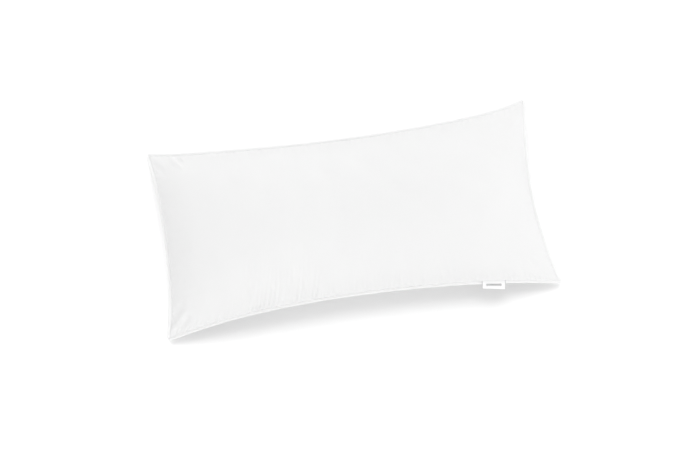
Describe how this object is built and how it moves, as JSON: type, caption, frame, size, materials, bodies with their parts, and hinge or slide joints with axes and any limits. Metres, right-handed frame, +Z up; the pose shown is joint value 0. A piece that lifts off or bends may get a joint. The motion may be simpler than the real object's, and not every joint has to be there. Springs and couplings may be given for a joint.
{
  "type": "bed pillow",
  "caption": "Long filled bed pillow with drawn-in sides, piping sewn round the seam and a small woven tab near one corner.",
  "frame": {"origin": "on the surface that the pillow lies on, under the middle of its outline", "axes": "+X along the pillow, towards the end that has the tab near it; +Y across it, away from the side with the tab; +Z up, out of its face"},
  "size_m": [0.7985, 0.3909, 0.1553],
  "materials": {
    "cover_cotton": "matt plain-weave white cotton",
    "piping_cotton": "white cotton over a thin cord",
    "tab_ribbon": "smooth woven white ribbon"
  },
  "bodies": {
    "root": {"pillow_cover": "cover_cotton", "piping": "piping_cotton", "seam_tab": "tab_ribbon"}
  },
  "joints": []
}
